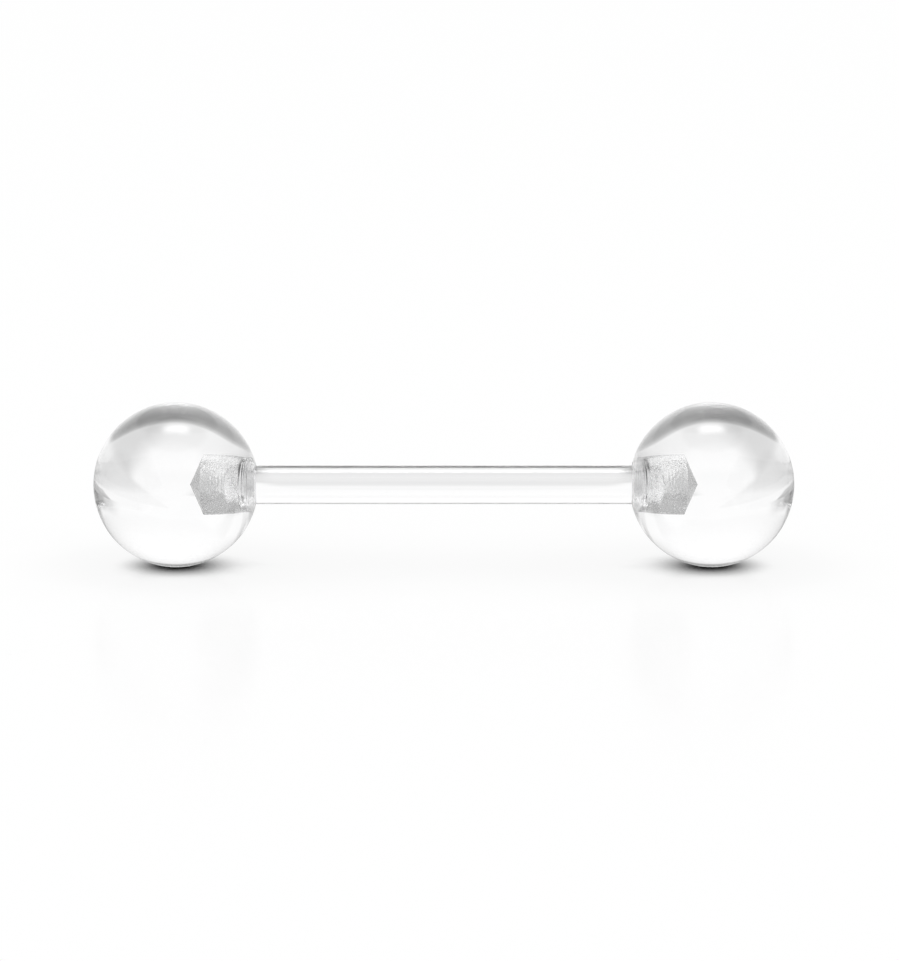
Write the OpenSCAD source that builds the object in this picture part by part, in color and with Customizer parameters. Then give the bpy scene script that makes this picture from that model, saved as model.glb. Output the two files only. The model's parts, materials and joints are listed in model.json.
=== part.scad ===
// Straight clear barbell: a plain round bar with a ball on each end.
// The bar lies along X. Z = 0 is the surface that both balls rest on.

/* [Bar] */
// Wearable length: the bare stretch of bar between the two balls
wear_length = 16; // [8:0.5:30]
// Diameter of the bar, 14 gauge
bar_d = 1.65; // [1.2:0.05:2.4]
// How far each end of the bar reaches into its ball
post_length = 1.8; // [1.4:0.1:2.4]
// Bevel on the edge of each bar end
post_bevel = 0.1; // [0.05:0.01:0.3]

/* [Balls] */
// Diameter of each ball
ball_d = 7; // [5:0.5:12]
// Width of the flat land round the mouth of the hole
mouth_land = 0.04; // [0.02:0.01:0.3]

/* [Hole in each ball] */
// Depth of the hole from the mouth to the shoulder of its drilled point
bore_depth = 2.55; // [2.5:0.05:3.5]
// Full angle of the drilled point
point_angle = 130; // [100:1:150]
// Gap all round between the bar and the frosted bore
bore_gap = 0.05; // [0.02:0.01:0.1]
// Gap all round between the bar and the wider polished throat
throat_gap = 0.135; // [0.12:0.005:0.3]
// Depth of the throat from the mouth
throat_depth = 0.75; // [0.3:0.05:0.9]
// Length of the cone that narrows the throat to the bore
taper_length = 0.45; // [0.2:0.05:0.8]

/* [Hidden] */
$fn = 128;

// How far a cutting tool runs past the face that it opens
overrun = 1;

bar_r = bar_d / 2;
ball_r = ball_d / 2;
bore_r = bar_r + bore_gap;
throat_r = bar_r + throat_gap;
mouth_r = throat_r + mouth_land;

// Distance from the centre of a ball to the flat land at its mouth
mouth_at = sqrt(pow(ball_r, 2) - pow(mouth_r, 2));
point_depth = bore_r / tan(point_angle / 2);

// Half of the whole bar, and the place of each ball's centre
bar_reach = wear_length / 2 + post_length;
ball_at = wear_length / 2 + mouth_at;
axis_height = ball_r;

// The bar: one turned piece, its ends bevelled to start into the balls.
module bar() {
    color([0.93, 0.94, 0.95, 0.45])
    translate([0, 0, axis_height])
    rotate([0, 90, 0])
    rotate_extrude()
    polygon([
        [0, -bar_reach],
        [bar_r - post_bevel, -bar_reach],
        [bar_r, -bar_reach + post_bevel],
        [bar_r, bar_reach - post_bevel],
        [bar_r - post_bevel, bar_reach],
        [0, bar_reach]
    ]);
}

// The blind hole, cut from the mouth towards the centre of the ball:
// throat, taper, frosted bore and drilled point. +Z points out of the mouth.
module hole() {
    translate([0, 0, mouth_at - throat_depth])
    cylinder(h = throat_depth + overrun, r = throat_r);

    translate([0, 0, mouth_at - throat_depth - taper_length])
    cylinder(h = taper_length, r1 = bore_r, r2 = throat_r);

    translate([0, 0, mouth_at - bore_depth])
    cylinder(h = bore_depth, r = bore_r);

    translate([0, 0, mouth_at - bore_depth - point_depth])
    cylinder(h = point_depth, r1 = 0, r2 = bore_r);
}

// A ball in its own place. side is -1 for the left one and 1 for the right one.
module ball(side) {
    color([0.95, 0.96, 0.97, 0.45])
    translate([side * ball_at, 0, axis_height])
    rotate([0, -side * 90, 0])
    difference() {
        sphere(r = ball_r);
        translate([0, 0, mouth_at])
        cylinder(h = ball_r, r = ball_r);
        hole();
    }
}

module left_ball() {
    ball(-1);
}

module right_ball() {
    ball(1);
}

bar();
left_ball();
right_ball();
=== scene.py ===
"""Clear tongue barbell: a straight round bar with a drilled, frosted clear ball on each end."""
import json
import math

import bpy
from bpy.props import (
    FloatProperty,
    FloatVectorProperty,
    IntProperty,
    PointerProperty,
)
from bpy.types import Operator, Panel, PropertyGroup
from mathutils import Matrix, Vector


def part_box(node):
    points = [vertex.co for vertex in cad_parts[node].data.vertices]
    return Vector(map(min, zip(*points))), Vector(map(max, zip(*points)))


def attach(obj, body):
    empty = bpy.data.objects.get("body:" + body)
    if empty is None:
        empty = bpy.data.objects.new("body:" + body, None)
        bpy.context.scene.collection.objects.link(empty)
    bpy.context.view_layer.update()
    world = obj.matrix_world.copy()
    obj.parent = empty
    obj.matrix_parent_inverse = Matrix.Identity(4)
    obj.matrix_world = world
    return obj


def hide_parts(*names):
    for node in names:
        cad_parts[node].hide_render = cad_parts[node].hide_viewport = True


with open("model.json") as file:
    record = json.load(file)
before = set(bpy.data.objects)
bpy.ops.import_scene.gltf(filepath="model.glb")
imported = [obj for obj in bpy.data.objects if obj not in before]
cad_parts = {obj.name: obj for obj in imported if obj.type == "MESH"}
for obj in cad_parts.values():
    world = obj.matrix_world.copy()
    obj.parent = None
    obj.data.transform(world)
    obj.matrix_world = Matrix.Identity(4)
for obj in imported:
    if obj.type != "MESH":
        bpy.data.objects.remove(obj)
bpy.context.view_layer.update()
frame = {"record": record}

bl_info = {
    "name": "Clear Barbell",
    "version": (1, 0, 0),
    "blender": (4, 5, 0),
    "location": "3D View > Sidebar > Barbell",
    "description": "Builds a clear barbell with drilled balls, and the studio that it lies in",
    "category": "Add Mesh",
}

MM = 0.001

# The photograph's frame, and where and how large the bar's middle is in it.
PHOTO_WIDTH = 899
PHOTO_HEIGHT = 961
PHOTO_BAR_MIDDLE = (443.85, 484.6)
PHOTO_PIXELS_PER_METRE = 23580

# The camera's sensor, in its own millimetres, and how near to the camera a thing still shows.
SENSOR_WIDTH = 36
CLIP_START = 1 * MM

BAR_MOUNT = frame["record"]["mounts"][0]
BAR_RADIUS = BAR_MOUNT["dims"]["r_mm"] * MM
AXIS_HEIGHT = BAR_MOUNT["pos_m"][2]
BAR_LOW, BAR_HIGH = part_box("bar")
BAR_HALF_LENGTH = BAR_MOUNT["dims"]["length_mm"] * MM / 2

# Marks on a ball's faces: drilled and frosted, or turned to a fine finish.
FROSTED_MARK = "frosted"
TURNED_MARK = "turned"

# Points of a skin closer than the weld become one, and an edge sharper than the crease stays sharp.
WELD = 0.0002 * MM
CREASE = math.radians(25)

# The seed of the drill's grain, which is lower by one in the left ball and higher by one in the right.
GRAIN_SEED = 3.0

# To the eye: the painted contact shadow, by how open the table is to the sky above it, and how bright it is
# there.
CONTACT_SHADE = (
    (0.070, 0.0),
    (0.250, 0.51),
    (0.455, 0.94),
    (0.80, 0.965),
    (0.93, 1.0),
)

# The throat's roughness, and the height and width of the rings that the tool left round it. Then the
# width of the frosted bore's flecks, how dark and how light they are, and how bright its drilled point
# is beside the rest of it, a painted shade that darkens the deepest recess of the hole.
THROAT_HAZE = 0.14
RING_HEIGHT = 0.03 * MM
RING_SIZE = 0.08 * MM
FLECK_SIZE = 0.08 * MM
FLECK_TONES = (0.98, 1.0)
POINT_PAINTED_SHADE = 0.9

# The clear plastic shows a wider painted shade on the table. Round each ball, how open the table is
# within the near reach, and how bright the painted shade leaves it there. The reach grows by the last
# number from the bar's side of a ball to its outer side, between the two distances from the bar's middle.
BALL_SHADE = (
    (0.45, 0.75),
    (0.69, 0.60),
    (0.82, 0.36),
    (0.90, 0.30),
    (0.95, 0.40),
    (0.985, 0.72),
    (1.00, 1.00),
)
BALL_REACH_GROWS = (11.5 * MM, 15 * MM, 1.0, 1.22)

# How many rays measure the openness within the near reach, so that the shade comes out even.
SHADE_SAMPLES = 128

# Along the bar: the painted shade's brightness by the distance from under its axis, out to the bar's field.
BAR_FIELD = 30 * MM
BAR_SHADE = (
    (1.0 * MM, 0.80),
    (1.5 * MM, 0.0),
    (2.55 * MM, 0.0),
    (3.4 * MM, 1.0),
    (4.3 * MM, 1.0),
    (5.6 * MM, 0.89),
    (9.0 * MM, 0.80),
    (16.0 * MM, 0.82),
    (28.0 * MM, 0.96),
)

# Four numbers in a row from here on, but for the panels, say how a value changes: it goes from the
# third number to the fourth while its measure goes from the first to the second. This one says where
# along the bar its shade gives way to the ball's.
BAR_SHADE_LENGTH = (7.4 * MM, 8.6 * MM, 1.0, 0.0)

# Farther from a ball the painted shade's brightness goes by how open the table is. Round the bar's
# middle lies a patch of painted shade with its own tone, length and width, which narrows away from the
# bar. At both sides painted shade darkens the table by how far aside a place lies. The sides start at a
# distance from the middle, and draw apart behind and before the barbell.
WIDE_SHADE = (0.945, 0.962, 0.89, 1.0)
MIDDLE_PAINTED_SHADE = 0.77
MIDDLE_LENGTH = (11 * MM, 13 * MM, 1.0, 0.0)
MIDDLE_NARROWS_FROM = 6 * MM
MIDDLE_NARROWS = 0.5
MIDDLE_WIDTH = (21 * MM, 30 * MM, 1.0, 0.0)
SIDES_START = 13.5 * MM
SIDES_DRAW_APART_FROM = 28 * MM
SIDES_DRAW_APART = 0.75
NEAR_SIDES_PAINTED_SHADE = (0.0, 5 * MM, 1.0, 0.62)
FAR_SIDES_PAINTED_SHADE = (7 * MM, 24 * MM, 1.0, 0.75)

# The surround's brightness falls off to both sides and up by the share of its direction that points
# there. Low at both sides it falls off by the angle, in degrees, that it is turned aside, and the last
# one says how high up that still counts.
SIDE_DIM = (0.80, 0.92, 1.0, 0.12)
TOP_DIM = (0.80, 0.89, 1.0, 0.0)
LOW_SIDES = (28, 42, 1.0, 0.72)
LOW_EDGES = (44, 52, 1.0, 0.55)
LOW_HEIGHT = (0.06, 0.2, 1.0, 0.0)

# Soft light panels: their radiance, their angle from straight overhead towards the camera, their half
# width and half height, and half the width of their soft edge, all angles in degrees.
LIGHT_PANELS = {
    "overhead": (6.0, -6, 12, 7, 6.5),
    "front": (1.1, 41, 34, 19, 9),
}


def ball_place(side):
    """(centre, radius, distance from the centre to the mouth) of the ball on that side of the frame."""
    low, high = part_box("left_ball" if side < 0 else "right_ball")
    radius = (high.z - low.z) / 2
    outer = low.x if side < 0 else high.x
    mouth = high.x if side < 0 else low.x
    centre = Vector((outer - side * radius, 0, (high.z + low.z) / 2))
    return centre, radius, abs(mouth - centre.x)


class BarbellSizes(PropertyGroup):
    """Sizes of the turned pieces that the frame's boxes don't give."""

    post_bevel: FloatProperty(
        name="Post bevel",
        description="Bevel on the edge of each bar end",
        default=0.1 * MM,
        min=0.01 * MM,
        max=0.3 * MM,
        precision=6,
        subtype="DISTANCE",
        unit="LENGTH",
    )
    bore_gap: FloatProperty(
        name="Bore gap",
        description="Gap all round between the bar and the frosted bore",
        default=0.05 * MM,
        min=0.02 * MM,
        max=0.1 * MM,
        precision=6,
        subtype="DISTANCE",
        unit="LENGTH",
    )
    throat_gap: FloatProperty(
        name="Throat gap",
        description="Gap all round between the bar and the wider throat",
        default=0.135 * MM,
        min=0.12 * MM,
        max=0.3 * MM,
        precision=6,
        subtype="DISTANCE",
        unit="LENGTH",
    )
    throat_depth: FloatProperty(
        name="Throat depth",
        description="Depth of the throat from the mouth",
        default=0.75 * MM,
        min=0.3 * MM,
        max=0.9 * MM,
        precision=6,
        subtype="DISTANCE",
        unit="LENGTH",
    )
    taper_length: FloatProperty(
        name="Taper length",
        description="Length of the cone that narrows the throat to the bore",
        default=0.45 * MM,
        min=0.2 * MM,
        max=0.8 * MM,
        precision=6,
        subtype="DISTANCE",
        unit="LENGTH",
    )
    bore_depth: FloatProperty(
        name="Bore depth",
        description="Depth of the hole from the mouth to the shoulder of its drilled point",
        default=2.55 * MM,
        min=2.5 * MM,
        max=3.5 * MM,
        precision=6,
        subtype="DISTANCE",
        unit="LENGTH",
    )
    point_angle: FloatProperty(
        name="Point angle",
        description="Full angle of the drilled point",
        default=math.radians(130),
        min=math.radians(100),
        max=math.radians(150),
        subtype="ANGLE",
        unit="ROTATION",
    )
    grain_height: FloatProperty(
        name="Grain height",
        description="Height of the frosting that the drill left in the bore",
        default=0.012 * MM,
        min=0,
        max=0.03 * MM,
        precision=6,
        subtype="DISTANCE",
        unit="LENGTH",
    )
    grain_size: FloatProperty(
        name="Grain size",
        description="Width of one grain of the frosting",
        default=0.09 * MM,
        min=0.03 * MM,
        max=0.3 * MM,
        precision=6,
        subtype="DISTANCE",
        unit="LENGTH",
    )
    segments: IntProperty(
        name="Segments",
        description="Faces round each turned piece",
        default=224,
        min=32,
        max=360,
    )
    arc_steps: IntProperty(
        name="Arc steps",
        description="Faces from the outer pole of a ball to its mouth",
        default=144,
        min=16,
        max=240,
    )


class BarbellFinish(PropertyGroup):
    """Finish of the clear plastic."""

    tint: FloatVectorProperty(
        name="Tint",
        description="Colour of the clear plastic",
        default=(0.988, 0.988, 0.99),
        min=0,
        max=1,
        size=3,
        subtype="COLOR",
    )
    ior: FloatProperty(
        name="Index of refraction",
        description="Index of refraction of acrylic",
        default=1.49,
        min=1.3,
        max=1.7,
    )
    frost: FloatProperty(
        name="Frosting",
        description="Middle roughness of the drilled bore",
        default=0.27,
        min=0,
        max=1,
        subtype="FACTOR",
    )


class BarbellStage(PropertyGroup):
    """The pale floor, the soft lights and the camera."""

    floor_width: FloatProperty(
        name="Floor width",
        description="Width and depth of the floor",
        default=3,
        min=0.5,
        max=10,
        subtype="DISTANCE",
        unit="LENGTH",
    )
    floor_mirror: FloatProperty(
        name="Floor mirror",
        description="Share of the floor's look that is its soft mirroring",
        default=0.1,
        min=0,
        max=1,
        subtype="FACTOR",
    )
    floor_blur: FloatProperty(
        name="Floor blur",
        description="Roughness of the floor's soft mirroring",
        default=0.18,
        min=0,
        max=1,
        subtype="FACTOR",
    )
    # The painted shade on the floor reaches this far from a piece.
    shade_reach: FloatProperty(
        name="Shade reach",
        description="How far a piece still shades the floor beside it",
        default=50 * MM,
        min=10 * MM,
        max=500 * MM,
        subtype="DISTANCE",
        unit="LENGTH",
    )
    # The darkest painted shade round a piece reaches this far, as the clear plastic shows it.
    near_reach: FloatProperty(
        name="Near reach",
        description="How far a piece's darkest shade reaches, as the clear plastic shows it",
        default=4.2 * MM,
        min=1 * MM,
        max=50 * MM,
        precision=6,
        subtype="DISTANCE",
        unit="LENGTH",
    )
    sky: FloatProperty(
        name="Surround",
        description="Brightness of the white studio all round",
        default=1.0,
        min=0,
        max=5,
    )
    camera_tilt: FloatProperty(
        name="Camera tilt",
        description="How far the camera looks down",
        default=math.radians(11),
        min=0,
        max=math.radians(89),
        subtype="ANGLE",
        unit="ROTATION",
    )
    camera_lens: FloatProperty(
        name="Camera lens",
        description="Focal length of the camera",
        default=200,
        min=20,
        max=400,
        unit="CAMERA",
    )


def settings():
    """The three groups of settings of this scene."""
    scene = bpy.context.scene
    return scene.barbell_sizes, scene.barbell_finish, scene.barbell_stage


class NodeBench:
    """Adds nodes to a tree from left to right, and links what goes into them."""

    STEP = 190

    def __init__(self, tree):
        self.tree = tree
        self.count = 0

    def add(self, kind, into=None, **settings_of_node):
        """Adds a node. into maps a socket's name or number to a value or to another node's socket."""
        node = self.tree.nodes.new(kind)
        node.location = (self.STEP * self.count, 0)
        self.count += 1
        for name, value in settings_of_node.items():
            setattr(node, name, value)
        for name, value in (into or {}).items():
            self.feed(node.inputs[name], value)
        return node

    def feed(self, socket, value):
        """Links a socket to another node's output, or sets its value."""
        for one in value if isinstance(value, list) else [value]:
            if isinstance(one, bpy.types.NodeSocket):
                self.tree.links.new(one, socket)
            else:
                socket.default_value = one

    def math(self, operation, *values):
        """The result of a Math node on one, two or three values."""
        node = self.add("ShaderNodeMath", operation=operation)
        for socket, value in zip(node.inputs, values):
            self.feed(socket, value)
        return node.outputs[0]

    def mix(self, first, second, share):
        """From first to second by share."""
        return self.add("ShaderNodeMix", {"Factor": share, "A": first, "B": second}).outputs["Result"]

    def point(self, x=0.0, y=0.0, z=0.0):
        """A vector from three numbers or sockets."""
        return self.add("ShaderNodeCombineXYZ", {"X": x, "Y": y, "Z": z}).outputs[0]

    def tones(self, value, stops):
        """The tone at value, with straight steps between stops, each (value, tone)."""
        node = self.add("ShaderNodeValToRGB")
        ramp = node.color_ramp
        # A new stop's own place doesn't matter, because the loop below sets every place.
        while len(ramp.elements) < len(stops):
            ramp.elements.new(0.5)
        for element, (position, tone) in zip(ramp.elements, stops):
            element.position = position
            element.color = (tone, tone, tone, 1)
        self.feed(node.inputs[0], value)
        return node.outputs[0]

    def ramp(self, value, low, high, to_low=0.0, to_high=1.0):
        """value, from low to high, moved smoothly to the range from to_low to to_high."""
        node = self.add("ShaderNodeMapRange", interpolation_type="SMOOTHSTEP")
        for name, number in (
            ("Value", value),
            ("From Min", low),
            ("From Max", high),
            ("To Min", to_low),
            ("To Max", to_high),
        ):
            self.feed(node.inputs[name], number)
        return node.outputs["Result"]


def new_tree(name, sockets):
    """A geometry tree with those named inputs and one geometry output: (bench, its inputs by name)."""
    tree = bpy.data.node_groups.new(name, "GeometryNodeTree")
    for label, kind in sockets:
        tree.interface.new_socket(name=label, in_out="INPUT", socket_type=kind)
    tree.interface.new_socket(
        name="Geometry", in_out="OUTPUT", socket_type="NodeSocketGeometry"
    )
    bench = NodeBench(tree)
    inputs = bench.add("NodeGroupInput").outputs
    return bench, {label: inputs[label] for label, kind in sockets}


def turning_tree():
    """A lathe: turns a profile, X away from the axis and Y along it, into a closed skin about Z.
    The profile's +Y comes out along -Z."""
    bench, given = new_tree(
        "Turned Skin",
        [
            ("Profile", "NodeSocketGeometry"),
            ("Segments", "NodeSocketInt"),
        ],
    )
    lathe_radius = 1 * MM
    path = bench.add(
        "GeometryNodeCurvePrimitiveCircle",
        {"Resolution": given["Segments"], "Radius": lathe_radius},
        mode="RADIUS",
    )
    profile = bench.add(
        "GeometryNodeTransform",
        {"Geometry": given["Profile"], "Translation": (-lathe_radius, 0, 0)},
    )
    skin = bench.add(
        "GeometryNodeCurveToMesh",
        {"Curve": path.outputs[0], "Profile Curve": profile.outputs[0]},
    )
    merged = bench.add(
        "GeometryNodeMergeByDistance",
        {"Geometry": skin.outputs[0], "Distance": WELD},
    )
    bench.add("NodeGroupOutput", {"Geometry": merged.outputs[0]})
    return bench.tree


def profile_line(bench, start, end, steps):
    """A straight stretch of a profile from start to end, each (away from the axis, along it)."""
    line = bench.add(
        "GeometryNodeCurvePrimitiveLine",
        {"Start": bench.point(*start), "End": bench.point(*end)},
    )
    return bench.add(
        "GeometryNodeResampleCurve",
        {"Curve": line.outputs[0], "Count": steps + 1},
    ).outputs[0]


def turned(bench, lathe, stretches, segments):
    """The skin that the lathe makes of those stretches of profile."""
    joined = bench.add("GeometryNodeJoinGeometry", {"Geometry": stretches})
    node = bench.add("GeometryNodeGroup", node_tree=lathe)
    bench.feed(node.inputs["Profile"], joined.outputs[0])
    bench.feed(node.inputs["Segments"], segments)
    return node.outputs[0]


def finish_skin(bench, skin, centre, turn, crease, materials):
    """Lays a skin along X, creases its sharp edges, realizes it and gives it its materials."""
    placed = bench.add(
        "GeometryNodeTransform",
        {
            "Geometry": skin,
            "Translation": centre,
            "Rotation": bench.point(0.0, turn, 0.0),
        },
    )
    rounded = bench.add(
        "GeometryNodeSetShadeSmooth",
        {"Geometry": placed.outputs[0], "Shade Smooth": True},
        domain="FACE",
    )
    angle = bench.add("GeometryNodeInputMeshEdgeAngle")
    creased = bench.add(
        "GeometryNodeSetShadeSmooth",
        {
            "Geometry": rounded.outputs[0],
            "Selection": bench.math("GREATER_THAN", angle.outputs[0], crease),
            "Shade Smooth": False,
        },
        domain="EDGE",
    )
    result = bench.add("GeometryNodeRealizeInstances", {0: creased.outputs[0]}).outputs[0]
    for mark, material in materials:
        node = bench.add("GeometryNodeSetMaterial", {"Geometry": result, "Material": material})
        if mark:
            marked = bench.add(
                "GeometryNodeInputNamedAttribute", {"Name": mark}, data_type="BOOLEAN"
            )
            bench.feed(node.inputs["Selection"], marked.outputs[0])
        result = node.outputs[0]
    bench.add("NodeGroupOutput", {"Geometry": result})


def bar_tree(lathe):
    """The bar: a plain rod with bevelled ends, from its named sizes."""
    bench, given = new_tree(
        "Clear Bar",
        [
            ("Radius", "NodeSocketFloat"),
            ("Reach", "NodeSocketFloat"),
            ("Bevel", "NodeSocketFloat"),
            ("Segments", "NodeSocketInt"),
            ("Centre", "NodeSocketVector"),
            ("Turn", "NodeSocketFloat"),
            ("Crease", "NodeSocketFloat"),
            ("Clear", "NodeSocketMaterial"),
        ],
    )
    end_steps = 6
    bevel_steps = 3
    length_steps = 120
    radius = given["Radius"]
    reach = given["Reach"]
    face = bench.math("SUBTRACT", radius, given["Bevel"])
    shoulder = bench.math("SUBTRACT", reach, given["Bevel"])
    back = bench.math("MULTIPLY", reach, -1.0)
    back_shoulder = bench.math("MULTIPLY", shoulder, -1.0)
    stretches = [
        profile_line(bench, (0.0, back), (face, back), end_steps),
        profile_line(bench, (face, back), (radius, back_shoulder), bevel_steps),
        profile_line(bench, (radius, back_shoulder), (radius, shoulder), length_steps),
        profile_line(bench, (radius, shoulder), (face, reach), bevel_steps),
        profile_line(bench, (face, reach), (0.0, reach), end_steps),
    ]
    skin = turned(bench, lathe, stretches, given["Segments"])
    finish_skin(
        bench, skin, given["Centre"], given["Turn"], given["Crease"], [(None, given["Clear"])]
    )
    return bench.tree


def grained(bench, skin, mouth, depth, height, size, seed):
    """Raises the drill's grain and rings on the bore's skin, fading out where it meets the taper."""
    fade_length = 0.06 * MM
    grain_detail = 1.0
    grain_roughness = 0.6
    grain_middle = 0.5
    ring_pitch = 0.11 * MM
    ring_share = 0.12
    place = bench.add("GeometryNodeInputPosition").outputs[0]
    along = bench.add("ShaderNodeSeparateXYZ", {0: place}).outputs["Z"]
    edge = bench.math("SUBTRACT", bench.math("MULTIPLY", mouth, -1.0), bench.math("MULTIPLY", depth, -1.0))
    inside = bench.math("SUBTRACT", along, edge)
    fade = bench.ramp(inside, 0.0, fade_length)
    grain = bench.add(
        "ShaderNodeTexNoise",
        {
            "Vector": place,
            "W": seed,
            "Scale": bench.math("DIVIDE", 1.0, size),
            "Detail": grain_detail,
            "Roughness": grain_roughness,
        },
        noise_dimensions="4D",
    )
    rings = bench.math("SINE", bench.math("MULTIPLY", along, 2 * math.pi / ring_pitch))
    lift = bench.math("SUBTRACT", grain.outputs[0], grain_middle)
    lift = bench.math("MULTIPLY_ADD", rings, ring_share, lift)
    lift = bench.math("MULTIPLY", bench.math("MULTIPLY", lift, height), fade)
    normal = bench.add("GeometryNodeInputNormal").outputs[0]
    offset = bench.add(
        "ShaderNodeVectorMath", {0: normal, "Scale": lift}, operation="SCALE"
    ).outputs[0]
    return bench.add(
        "GeometryNodeSetPosition", {"Geometry": skin, "Offset": offset}
    ).outputs[0]


def marked_faces(bench, skin, mark):
    """The skin, with that mark set on all its faces."""
    return bench.add(
        "GeometryNodeStoreNamedAttribute",
        {"Geometry": skin, "Name": mark, "Value": True},
        data_type="BOOLEAN",
        domain="FACE",
    ).outputs[0]


def ball_tree(lathe):
    """A drilled ball: sphere, land, throat, taper, frosted bore and drilled point, from named sizes."""
    bench, given = new_tree(
        "Drilled Ball",
        [
            ("Radius", "NodeSocketFloat"),
            ("Mouth", "NodeSocketFloat"),
            ("Throat Radius", "NodeSocketFloat"),
            ("Throat Depth", "NodeSocketFloat"),
            ("Taper Length", "NodeSocketFloat"),
            ("Bore Radius", "NodeSocketFloat"),
            ("Bore Depth", "NodeSocketFloat"),
            ("Point Angle", "NodeSocketFloat"),
            ("Grain Height", "NodeSocketFloat"),
            ("Grain Size", "NodeSocketFloat"),
            ("Grain Seed", "NodeSocketFloat"),
            ("Segments", "NodeSocketInt"),
            ("Arc Steps", "NodeSocketInt"),
            ("Centre", "NodeSocketVector"),
            ("Turn", "NodeSocketFloat"),
            ("Crease", "NodeSocketFloat"),
            ("Clear", "NodeSocketMaterial"),
            ("Turned", "NodeSocketMaterial"),
            ("Frosted", "NodeSocketMaterial"),
        ],
    )
    land_steps = 2
    throat_steps = 8
    taper_steps = 6
    bore_steps = 64
    point_steps = 44
    radius = given["Radius"]
    mouth = given["Mouth"]
    throat = given["Throat Radius"]
    bore = given["Bore Radius"]
    rise = bench.math("ARCSINE", bench.math("DIVIDE", mouth, radius))
    land = bench.math("MULTIPLY", bench.math("COSINE", rise), radius)
    throat_end = bench.math("SUBTRACT", mouth, given["Throat Depth"])
    taper_end = bench.math("SUBTRACT", throat_end, given["Taper Length"])
    shoulder = bench.math("SUBTRACT", mouth, given["Bore Depth"])
    half_point = bench.math("MULTIPLY", given["Point Angle"], 0.5)
    tip = bench.math(
        "SUBTRACT", shoulder, bench.math("DIVIDE", bore, bench.math("TANGENT", half_point))
    )
    sphere = bench.add(
        "GeometryNodeCurveArc",
        {
            "Resolution": bench.math("ADD", given["Arc Steps"], 1.0),
            "Radius": radius,
            "Start Angle": -math.pi / 2,
            "Sweep Angle": bench.math("ADD", rise, math.pi / 2),
        },
        mode="RADIUS",
    ).outputs[0]
    polished = turned(
        bench,
        lathe,
        [sphere, profile_line(bench, (land, mouth), (throat, mouth), land_steps)],
        given["Segments"],
    )
    throat_skin = turned(
        bench,
        lathe,
        [
            profile_line(bench, (throat, mouth), (throat, throat_end), throat_steps),
            profile_line(bench, (throat, throat_end), (bore, taper_end), taper_steps),
        ],
        given["Segments"],
    )
    drilled = turned(
        bench,
        lathe,
        [
            profile_line(bench, (bore, taper_end), (bore, shoulder), bore_steps),
            profile_line(bench, (bore, shoulder), (0.0, tip), point_steps),
        ],
        given["Segments"],
    )
    hole_depth = bench.math("ADD", given["Throat Depth"], given["Taper Length"])
    drilled = grained(
        bench, drilled, mouth, hole_depth, given["Grain Height"], given["Grain Size"], given["Grain Seed"]
    )
    throat_skin = marked_faces(bench, throat_skin, TURNED_MARK)
    drilled = marked_faces(bench, drilled, FROSTED_MARK)
    both = bench.add(
        "GeometryNodeJoinGeometry", {"Geometry": [polished, throat_skin, drilled]}
    )
    skin = bench.add(
        "GeometryNodeMergeByDistance",
        {"Geometry": both.outputs[0], "Distance": WELD},
    )
    finish_skin(
        bench,
        skin.outputs[0],
        given["Centre"],
        given["Turn"],
        given["Crease"],
        [
            (None, given["Clear"]),
            (TURNED_MARK, given["Turned"]),
            (FROSTED_MARK, given["Frosted"]),
        ],
    )
    return bench.tree


def grown(name, tree, values):
    """The plain mesh object that the tree makes of those named values."""
    holder = bpy.data.objects.new(name, bpy.data.meshes.new(name))
    bpy.context.scene.collection.objects.link(holder)
    modifier = holder.modifiers.new(tree.name, "NODES")
    modifier.node_group = tree
    sockets = {
        item.name: item.identifier
        for item in tree.interface.items_tree
        if item.item_type == "SOCKET" and item.in_out == "INPUT"
    }
    for label, value in values.items():
        modifier[sockets[label]] = value
    depsgraph = bpy.context.evaluated_depsgraph_get()
    mesh = bpy.data.meshes.new_from_object(holder.evaluated_get(depsgraph))
    holder.modifiers.remove(modifier)
    mesh.name = name
    holder.data = mesh
    if not mesh.polygons:
        raise RuntimeError(f"{name} came out empty")
    return holder


def settle(piece, node):
    """Says which body the piece rides on, and hides the node that it stands for."""
    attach(piece, node)
    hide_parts(node)


def plastic(name, roughness=0.0):
    """A clear plastic's material: (material, its bench, its shader, its Object coordinates)."""
    finish = settings()[1]
    material = bpy.data.materials.new(name)
    material.use_nodes = True
    bench = NodeBench(material.node_tree)
    shader = material.node_tree.nodes["Principled BSDF"]
    shader.inputs["Base Color"].default_value = (*finish.tint, 1)
    shader.inputs["Roughness"].default_value = roughness
    shader.inputs["IOR"].default_value = finish.ior
    shader.inputs["Transmission Weight"].default_value = 1.0
    place = bench.add("ShaderNodeTexCoord").outputs["Object"]
    return material, bench, shader, place


def noise(bench, place, size, detail=2.0, roughness=0.5, stretch=(1, 1, 1)):
    """Noise with features about size wide, stretched along an axis where stretch is above 1."""
    squeezed = bench.add(
        "ShaderNodeMapping",
        {"Vector": place, "Scale": tuple(1 / (s * size) for s in stretch)},
    )
    return bench.add(
        "ShaderNodeTexNoise",
        {
            "Vector": squeezed.outputs[0],
            "Scale": 1.0,
            "Detail": detail,
            "Roughness": roughness,
        },
    ).outputs[0]


def bump(bench, shader, height, distance, under=None):
    """Bumps the shader by height, over an earlier bump if there is one."""
    node = bench.add("ShaderNodeBump", {"Height": height, "Strength": 1.0, "Distance": distance})
    if under:
        bench.feed(node.inputs["Normal"], under)
    bench.feed(shader.inputs["Normal"], node.outputs[0])
    return node.outputs[0]


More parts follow.
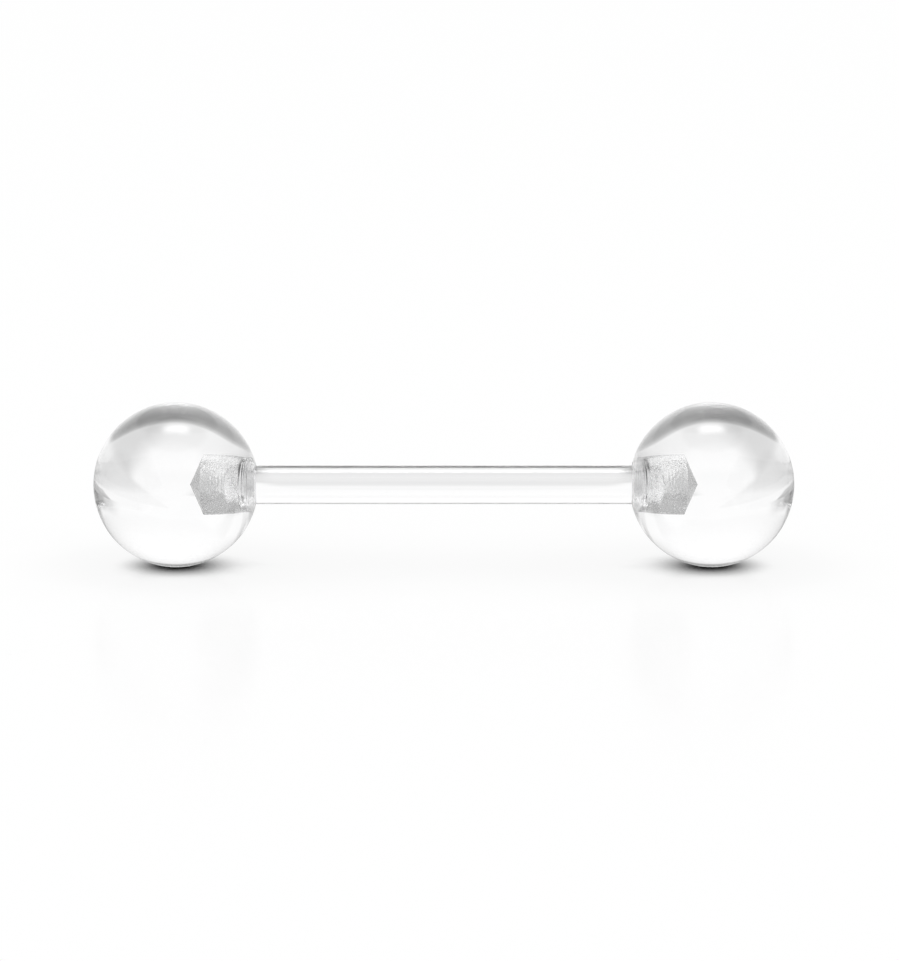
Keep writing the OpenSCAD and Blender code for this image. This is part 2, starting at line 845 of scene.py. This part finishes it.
def polished_acrylic():
    """Cast acrylic, tumbled and polished: clear, with faint ripples and handling marks."""
    smudge_size = 1.6 * MM
    smudge_haze = (0.35, 0.75, 0.0, 0.03)
    ripple_size = 2.2 * MM
    ripple_height = 0.004 * MM
    mark_size = 0.25 * MM
    mark_stretch = (6, 1, 1)
    mark_height = 0.0002 * MM
    material, bench, shader, place = plastic("polished_acrylic")
    smudges = noise(bench, place, smudge_size, detail=3.0)
    bench.feed(shader.inputs["Roughness"], bench.ramp(smudges, *smudge_haze))
    ripples = noise(bench, place, ripple_size, detail=1.0)
    under = bump(bench, shader, ripples, ripple_height)
    marks = noise(bench, place, mark_size, stretch=mark_stretch)
    bump(bench, shader, marks, mark_height, under)
    return material


def turned_acrylic():
    """The throat: acrylic turned to a fine finish, with faint rings round it."""
    ring_stretch = (1, 30, 30)
    wave_size = 0.4 * MM
    wave_height = 0.004 * MM
    material, bench, shader, place = plastic("turned_acrylic", THROAT_HAZE)
    rings = noise(bench, place, RING_SIZE, detail=1.0, stretch=ring_stretch)
    under = bump(bench, shader, rings, RING_HEIGHT)
    waves = noise(bench, place, wave_size, detail=1.0)
    bump(bench, shader, waves, wave_height, under)
    return material


def frosted_acrylic():
    """The drilled bore: acrylic torn by the drill, frosted and speckled, with painted shade darkening the
    drilled point.
    """
    sizes, finish = settings()[:2]
    fleck_range = (0.35, 0.65)
    tone_range = (0.40, 0.60)
    rougher = 0.1
    smoother = 0.25
    shoulder = BAR_HALF_LENGTH + sizes.bore_depth
    shoulder_blend = 0.05 * MM
    grit_roughness = 0.6
    grit_size = 0.1 * MM
    grit_height = 0.03 * MM
    material, bench, shader, place = plastic("frosted_acrylic", finish.frost)
    flecks = noise(bench, place, FLECK_SIZE, roughness=grit_roughness)
    bench.feed(
        shader.inputs["Roughness"],
        bench.ramp(flecks, *fleck_range, finish.frost + rougher, finish.frost - smoother),
    )
    along = bench.math("ABSOLUTE", bench.add("ShaderNodeSeparateXYZ", {0: place}).outputs["X"])
    # The flecks' own tone, darkened by painted shade at the drilled point.
    tone = bench.math(
        "MULTIPLY",
        bench.ramp(flecks, *tone_range, *FLECK_TONES),
        bench.ramp(along, shoulder, shoulder + shoulder_blend, 1.0, POINT_PAINTED_SHADE),
    )
    bench.feed(
        shader.inputs["Base Color"],
        bench.add("ShaderNodeCombineColor", {"Red": tone, "Green": tone, "Blue": tone}).outputs[0],
    )
    grit = noise(bench, place, grit_size, detail=3.0, roughness=grit_roughness)
    bump(bench, shader, grit, grit_height)
    return material


def drawn_acrylic():
    """The rod: extruded acrylic, clear, with faint lines along its length."""
    smear_size = 0.5 * MM
    smear_stretch = (6, 1, 1)
    smear_haze = (0.3, 0.8, 0.0, 0.05)
    line_size = 0.12 * MM
    line_stretch = (30, 1, 1)
    line_height = 0.001 * MM
    wave_size = 0.7 * MM
    wave_stretch = (1.5, 1, 1)
    wave_height = 0.0025 * MM
    material, bench, shader, place = plastic("drawn_acrylic")
    smears = noise(bench, place, smear_size, stretch=smear_stretch)
    bench.feed(shader.inputs["Roughness"], bench.ramp(smears, *smear_haze))
    lines = noise(bench, place, line_size, stretch=line_stretch)
    under = bump(bench, shader, lines, line_height)
    waves = noise(bench, place, wave_size, stretch=wave_stretch)
    bump(bench, shader, waves, wave_height, under)
    return material


class BARBELL_OT_bar(Operator):
    """Builds the clear bar, its ends reaching into both balls"""

    bl_idname = "barbell.bar"
    bl_label = "Bar"

    def execute(self, context):
        sizes = settings()[0]
        piece = grown(
            "clear_bar",
            bar_tree(turning_tree()),
            {
                "Radius": BAR_RADIUS,
                "Reach": (BAR_HIGH.x - BAR_LOW.x) / 2,
                "Bevel": sizes.post_bevel,
                "Segments": sizes.segments,
                "Centre": ((BAR_HIGH.x + BAR_LOW.x) / 2, 0.0, AXIS_HEIGHT),
                "Turn": -math.pi / 2,
                "Crease": CREASE,
                "Clear": drawn_acrylic(),
            },
        )
        settle(piece, "bar")
        return {"FINISHED"}


class BARBELL_OT_balls(Operator):
    """Builds the two drilled clear balls"""

    bl_idname = "barbell.balls"
    bl_label = "Balls"

    def execute(self, context):
        sizes = settings()[0]
        tree = ball_tree(turning_tree())
        polished = polished_acrylic()
        throat = turned_acrylic()
        frosted = frosted_acrylic()
        for side, node in ((-1, "left_ball"), (1, "right_ball")):
            centre, radius, mouth = ball_place(side)
            piece = grown(
                f"clear_{node}",
                tree,
                {
                    "Radius": radius,
                    "Mouth": mouth,
                    "Throat Radius": BAR_RADIUS + sizes.throat_gap,
                    "Throat Depth": sizes.throat_depth,
                    "Taper Length": sizes.taper_length,
                    "Bore Radius": BAR_RADIUS + sizes.bore_gap,
                    "Bore Depth": sizes.bore_depth,
                    "Point Angle": sizes.point_angle,
                    "Grain Height": sizes.grain_height,
                    "Grain Size": sizes.grain_size,
                    "Grain Seed": GRAIN_SEED + side,
                    "Segments": sizes.segments,
                    "Arc Steps": sizes.arc_steps,
                    "Centre": tuple(centre),
                    "Turn": side * math.pi / 2,
                    "Crease": CREASE,
                    "Clear": polished,
                    "Turned": throat,
                    "Frosted": frosted,
                },
            )
            settle(piece, node)
        return {"FINISHED"}


def turned_aside(bench, parts):
    """How far a direction is turned from the line straight across the bar, in degrees."""
    sideways = bench.math("ABSOLUTE", parts["X"])
    straight = bench.math("ABSOLUTE", parts["Y"])
    return bench.math("DEGREES", bench.math("ARCTAN2", sideways, straight))


def shade_through_plastic(bench, stage, open_share):
    """How bright the table's painted shade leaves it, where the clear plastic shows it."""
    place = bench.add("ShaderNodeTexCoord").outputs["Object"]
    parts = bench.add("ShaderNodeSeparateXYZ", {0: place}).outputs
    along = bench.math("ABSOLUTE", parts["X"])
    beside = bench.math("ABSOLUTE", parts["Y"])
    reach = bench.math("MULTIPLY", bench.ramp(along, *BALL_REACH_GROWS), stage.near_reach)
    near_share = bench.add(
        "ShaderNodeAmbientOcclusion", {"Distance": reach}, samples=SHADE_SAMPLES
    ).outputs["AO"]
    at_ball = bench.math(
        "MULTIPLY", bench.tones(near_share, BALL_SHADE), bench.ramp(open_share, *WIDE_SHADE)
    )
    past = bench.math("MAXIMUM", bench.math("SUBTRACT", beside, MIDDLE_NARROWS_FROM), 0.0)
    in_middle = bench.math(
        "MULTIPLY",
        bench.ramp(bench.math("MULTIPLY_ADD", past, MIDDLE_NARROWS, along), *MIDDLE_LENGTH),
        bench.ramp(beside, *MIDDLE_WIDTH),
    )
    # The patch of painted shade round the bar's middle.
    at_ball = bench.math("MULTIPLY", at_ball, bench.mix(1.0, MIDDLE_PAINTED_SHADE, in_middle))
    at_bar = bench.tones(
        bench.math("DIVIDE", beside, BAR_FIELD),
        [(distance / BAR_FIELD, tone) for distance, tone in BAR_SHADE],
    )
    shade = bench.mix(at_ball, at_bar, bench.ramp(along, *BAR_SHADE_LENGTH))
    apart = bench.math("MAXIMUM", bench.math("SUBTRACT", beside, SIDES_DRAW_APART_FROM), 0.0)
    aside = bench.math("SUBTRACT", along, bench.math("MULTIPLY_ADD", apart, SIDES_DRAW_APART, SIDES_START))
    # Painted shade at both sides of the table.
    for sides in (NEAR_SIDES_PAINTED_SHADE, FAR_SIDES_PAINTED_SHADE):
        shade = bench.math("MULTIPLY", shade, bench.ramp(aside, *sides))
    return shade


def white_table():
    """A glowing white table: even white to the eye, dark with painted shadow where a ball touches it, and
    softly mirroring.
    Through the clear plastic, and in what mirrors it, it shows a wider and darker painted shade round
    the pieces."""
    stage = settings()[2]
    material = bpy.data.materials.new("white_table")
    material.use_nodes = True
    tree = material.node_tree
    tree.nodes.remove(tree.nodes["Principled BSDF"])
    bench = NodeBench(tree)
    open_share = bench.add("ShaderNodeAmbientOcclusion", {"Distance": stage.shade_reach}).outputs["AO"]
    # The painted contact shadow: the table's glow darkens where it is less open to the sky.
    painted_contact_tone = bench.tones(open_share, CONTACT_SHADE)
    glow = bench.add(
        "ShaderNodeEmission",
        {"Strength": bench.math("MULTIPLY", painted_contact_tone, 1 - stage.floor_mirror)},
    )
    mirrored = bench.math("MULTIPLY", painted_contact_tone, stage.floor_mirror)
    mirror = bench.add(
        "ShaderNodeBsdfAnisotropic",
        {
            "Color": bench.add(
                "ShaderNodeCombineColor", {"Red": mirrored, "Green": mirrored, "Blue": mirrored}
            ).outputs[0],
            "Roughness": stage.floor_blur,
        },
    )
    seen = bench.add("ShaderNodeAddShader", {0: glow.outputs[0], 1: mirror.outputs[0]})
    shaded = shade_through_plastic(bench, stage, open_share)
    through = bench.add("ShaderNodeEmission", {"Strength": shaded})
    is_seen = bench.add("ShaderNodeLightPath").outputs["Is Camera Ray"]
    table = bench.add(
        "ShaderNodeMixShader", {0: is_seen, 1: through.outputs[0], 2: seen.outputs[0]}
    )
    tree.links.new(table.outputs[0], tree.nodes["Material Output"].inputs["Surface"])
    return material


def lay_floor(stage):
    """A wide pale floor, level with the bottom of both balls."""
    half = stage.floor_width / 2
    corners = [(-half, -half, 0), (half, -half, 0), (half, half, 0), (-half, half, 0)]
    mesh = bpy.data.meshes.new("floor")
    mesh.from_pydata(corners, [], [(0, 1, 2, 3)])
    floor = bpy.data.objects.new("floor", mesh)
    bpy.context.scene.collection.objects.link(floor)
    mesh.materials.append(white_table())


def soft_panel(bench, direction, panel):
    """1 inside a rectangular panel of the surround and 0 outside it, with a soft edge."""
    radiance, lean, half_width, half_height, edge = panel
    lean = math.radians(lean)
    toward = (0, -math.sin(lean), math.cos(lean))
    upward = (0, math.cos(lean), math.sin(lean))
    across = (1, 0, 0)
    ahead, up, side = [
        bench.add("ShaderNodeVectorMath", {0: direction, 1: axis}, operation="DOT_PRODUCT").outputs["Value"]
        for axis in (toward, upward, across)
    ]
    inside = bench.math("GREATER_THAN", ahead, 0.0)
    for part, half in ((side, half_width), (up, half_height)):
        angle = bench.math("ARCTAN2", bench.math("ABSOLUTE", part), ahead)
        low, high = math.radians(half - edge), math.radians(half + edge)
        inside = bench.math("MULTIPLY", inside, bench.ramp(angle, low, high, 1.0, 0.0))
    return bench.math("MULTIPLY", inside, radiance)


def hang_surround(stage):
    """A white studio all round, dimmer at both sides and overhead, with soft light panels in it."""
    world = bpy.data.worlds.new("studio")
    bpy.context.scene.world = world
    world.use_nodes = True
    bench = NodeBench(world.node_tree)
    background = world.node_tree.nodes["Background"]
    background.inputs["Color"].default_value = (1, 1, 1, 1)
    direction = bench.add("ShaderNodeTexCoord").outputs["Generated"]
    parts = bench.add("ShaderNodeSeparateXYZ", {0: direction}).outputs
    side = bench.math("ABSOLUTE", parts["X"])
    glow = bench.ramp(side, *SIDE_DIM)
    glow = bench.math("MULTIPLY", glow, bench.ramp(parts["Z"], *TOP_DIM))
    aside = turned_aside(bench, parts)
    low = bench.ramp(parts["Z"], *LOW_HEIGHT)
    for dim in (LOW_SIDES, LOW_EDGES):
        glow = bench.math("MULTIPLY", glow, bench.mix(1.0, bench.ramp(aside, *dim), low))
    glow = bench.math("MULTIPLY", glow, stage.sky)
    for panel in LIGHT_PANELS.values():
        glow = bench.math("ADD", glow, soft_panel(bench, direction, panel))
    bench.feed(background.inputs["Strength"], glow)


def set_camera(stage):
    """The camera, where the photograph was taken from."""
    camera = bpy.data.cameras.new("camera")
    camera.lens = stage.camera_lens
    camera.sensor_width = SENSOR_WIDTH
    camera.clip_start = CLIP_START
    holder = bpy.data.objects.new("camera", camera)
    bpy.context.scene.collection.objects.link(holder)
    bpy.context.scene.camera = holder
    focal_pixels = camera.lens / camera.sensor_width * PHOTO_HEIGHT
    distance = focal_pixels / PHOTO_PIXELS_PER_METRE
    tilt = stage.camera_tilt
    target = Vector((0, 0, AXIS_HEIGHT))
    holder.location = target + Vector((0, -math.cos(tilt), math.sin(tilt))) * distance
    holder.rotation_euler = (math.pi / 2 - tilt, 0, 0)
    camera.shift_x = (PHOTO_WIDTH / 2 - PHOTO_BAR_MIDDLE[0]) / PHOTO_HEIGHT
    camera.shift_y = (PHOTO_BAR_MIDDLE[1] - PHOTO_HEIGHT / 2) / PHOTO_HEIGHT


class BARBELL_OT_stage(Operator):
    """Lays the pale floor, hangs the soft lights and sets the camera"""

    bl_idname = "barbell.stage"
    bl_label = "Stage"

    def execute(self, context):
        stage = settings()[2]
        lay_floor(stage)
        hang_surround(stage)
        set_camera(stage)
        scene = context.scene
        scene.view_settings.view_transform = "Standard"
        light_paths = 48
        scene.cycles.max_bounces = light_paths
        scene.cycles.transmission_bounces = light_paths
        scene.cycles.glossy_bounces = light_paths
        scene.cycles.caustics_reflective = False
        scene.cycles.caustics_refractive = False
        return {"FINISHED"}


class BARBELL_PT_panel(Panel):
    """Lists the pieces of the barbell, its stage and their settings"""

    bl_idname = "BARBELL_PT_panel"
    bl_label = "Clear Barbell"
    bl_space_type = "VIEW_3D"
    bl_region_type = "UI"
    bl_category = "Barbell"

    def draw(self, context):
        for operator in OPERATORS:
            self.layout.operator(operator.bl_idname)
        for name, group in GROUPS.items():
            box = self.layout.box()
            for prop in group.__annotations__:
                box.prop(getattr(context.scene, name), prop)


GROUPS = {
    "barbell_sizes": BarbellSizes,
    "barbell_finish": BarbellFinish,
    "barbell_stage": BarbellStage,
}
OPERATORS = (BARBELL_OT_bar, BARBELL_OT_balls, BARBELL_OT_stage)
CLASSES = (*GROUPS.values(), *OPERATORS, BARBELL_PT_panel)


def register():
    for one in CLASSES:
        bpy.utils.register_class(one)
    for name, group in GROUPS.items():
        setattr(bpy.types.Scene, name, PointerProperty(type=group))


def unregister():
    for name in GROUPS:
        delattr(bpy.types.Scene, name)
    for one in reversed(CLASSES):
        bpy.utils.unregister_class(one)


def main():
    """Registers the add-on, and builds the pieces and the stage."""
    register()
    bpy.ops.barbell.bar()
    bpy.ops.barbell.balls()
    bpy.ops.barbell.stage()


if __name__ == "__main__":
    main()
